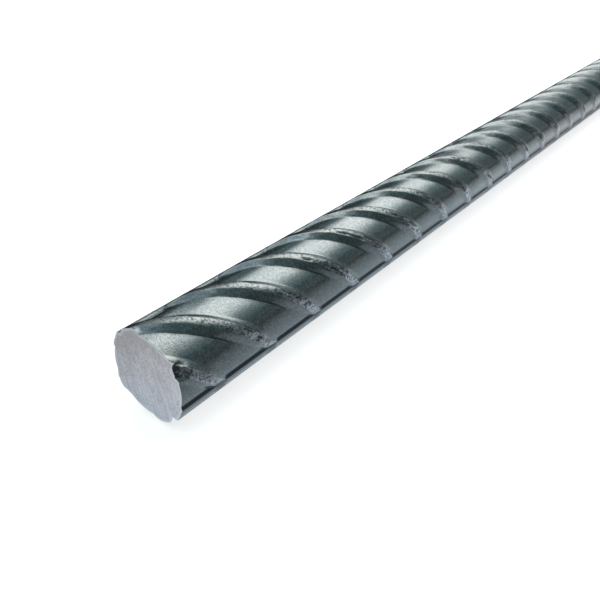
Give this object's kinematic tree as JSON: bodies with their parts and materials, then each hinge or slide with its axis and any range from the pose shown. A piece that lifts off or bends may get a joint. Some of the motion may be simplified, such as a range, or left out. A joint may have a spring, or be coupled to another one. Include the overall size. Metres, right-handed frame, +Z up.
{
  "type": "deformed reinforcing bar",
  "caption": "Straight deformed steel reinforcing bar, sawn square at both ends, with a round core, two ribs along it and slanting ribs between them.",
  "frame": {"origin": "on the bar's axis, halfway between its sawn ends", "axes": "+X along the bar, +Z up as the bar lies on a level floor on its round core, with the middle of its lower long rib 55.5 degrees round from straight down towards -Y"},
  "size_m": [1, 0.031, 0.031],
  "materials": {
    "mill_scale": "hot-rolled steel under blue-grey mill scale, worn to bright metal on the rib tops; fresh sawn steel on the ends"
  },
  "bodies": {
    "root": {"reinforcing_bar": "mill_scale"}
  },
  "joints": []
}
